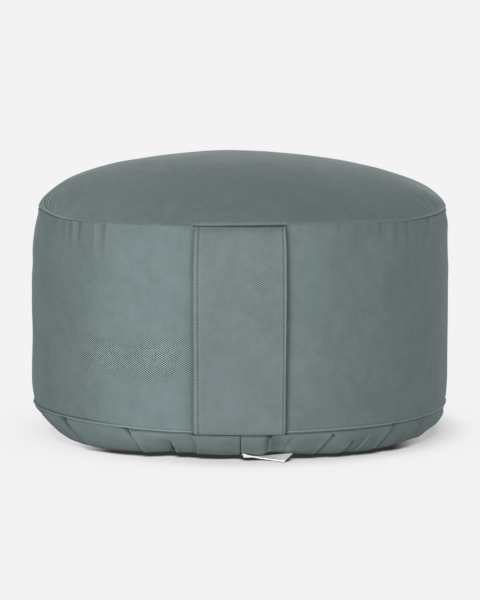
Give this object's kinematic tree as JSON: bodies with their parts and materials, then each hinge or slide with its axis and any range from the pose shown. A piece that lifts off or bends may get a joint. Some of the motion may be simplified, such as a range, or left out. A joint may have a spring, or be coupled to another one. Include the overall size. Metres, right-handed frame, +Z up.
{
  "type": "round meditation cushion",
  "caption": "Filled round floor cushion with a crowned top, an upright side wall, a pleated bottom panel and a flat carry strap down its side.",
  "frame": {"origin": "middle of the flat face that the cushion rests on", "axes": "+Z up through the crown, the carry strap faces -Y"},
  "size_m": [0.3, 0.3032, 0.2],
  "materials": {
    "cover_cloth": "grey-green cotton twill, matt, slightly uneven in tone",
    "strap_cloth": "the same twill as a hemmed band, top-stitched down both long sides",
    "label_tape": "white woven tape, folded, blank"
  },
  "bodies": {
    "root": {"cushion": "cover_cloth", "closing_flap": "cover_cloth", "carry_strap": "strap_cloth", "care_label": "label_tape"}
  },
  "joints": []
}
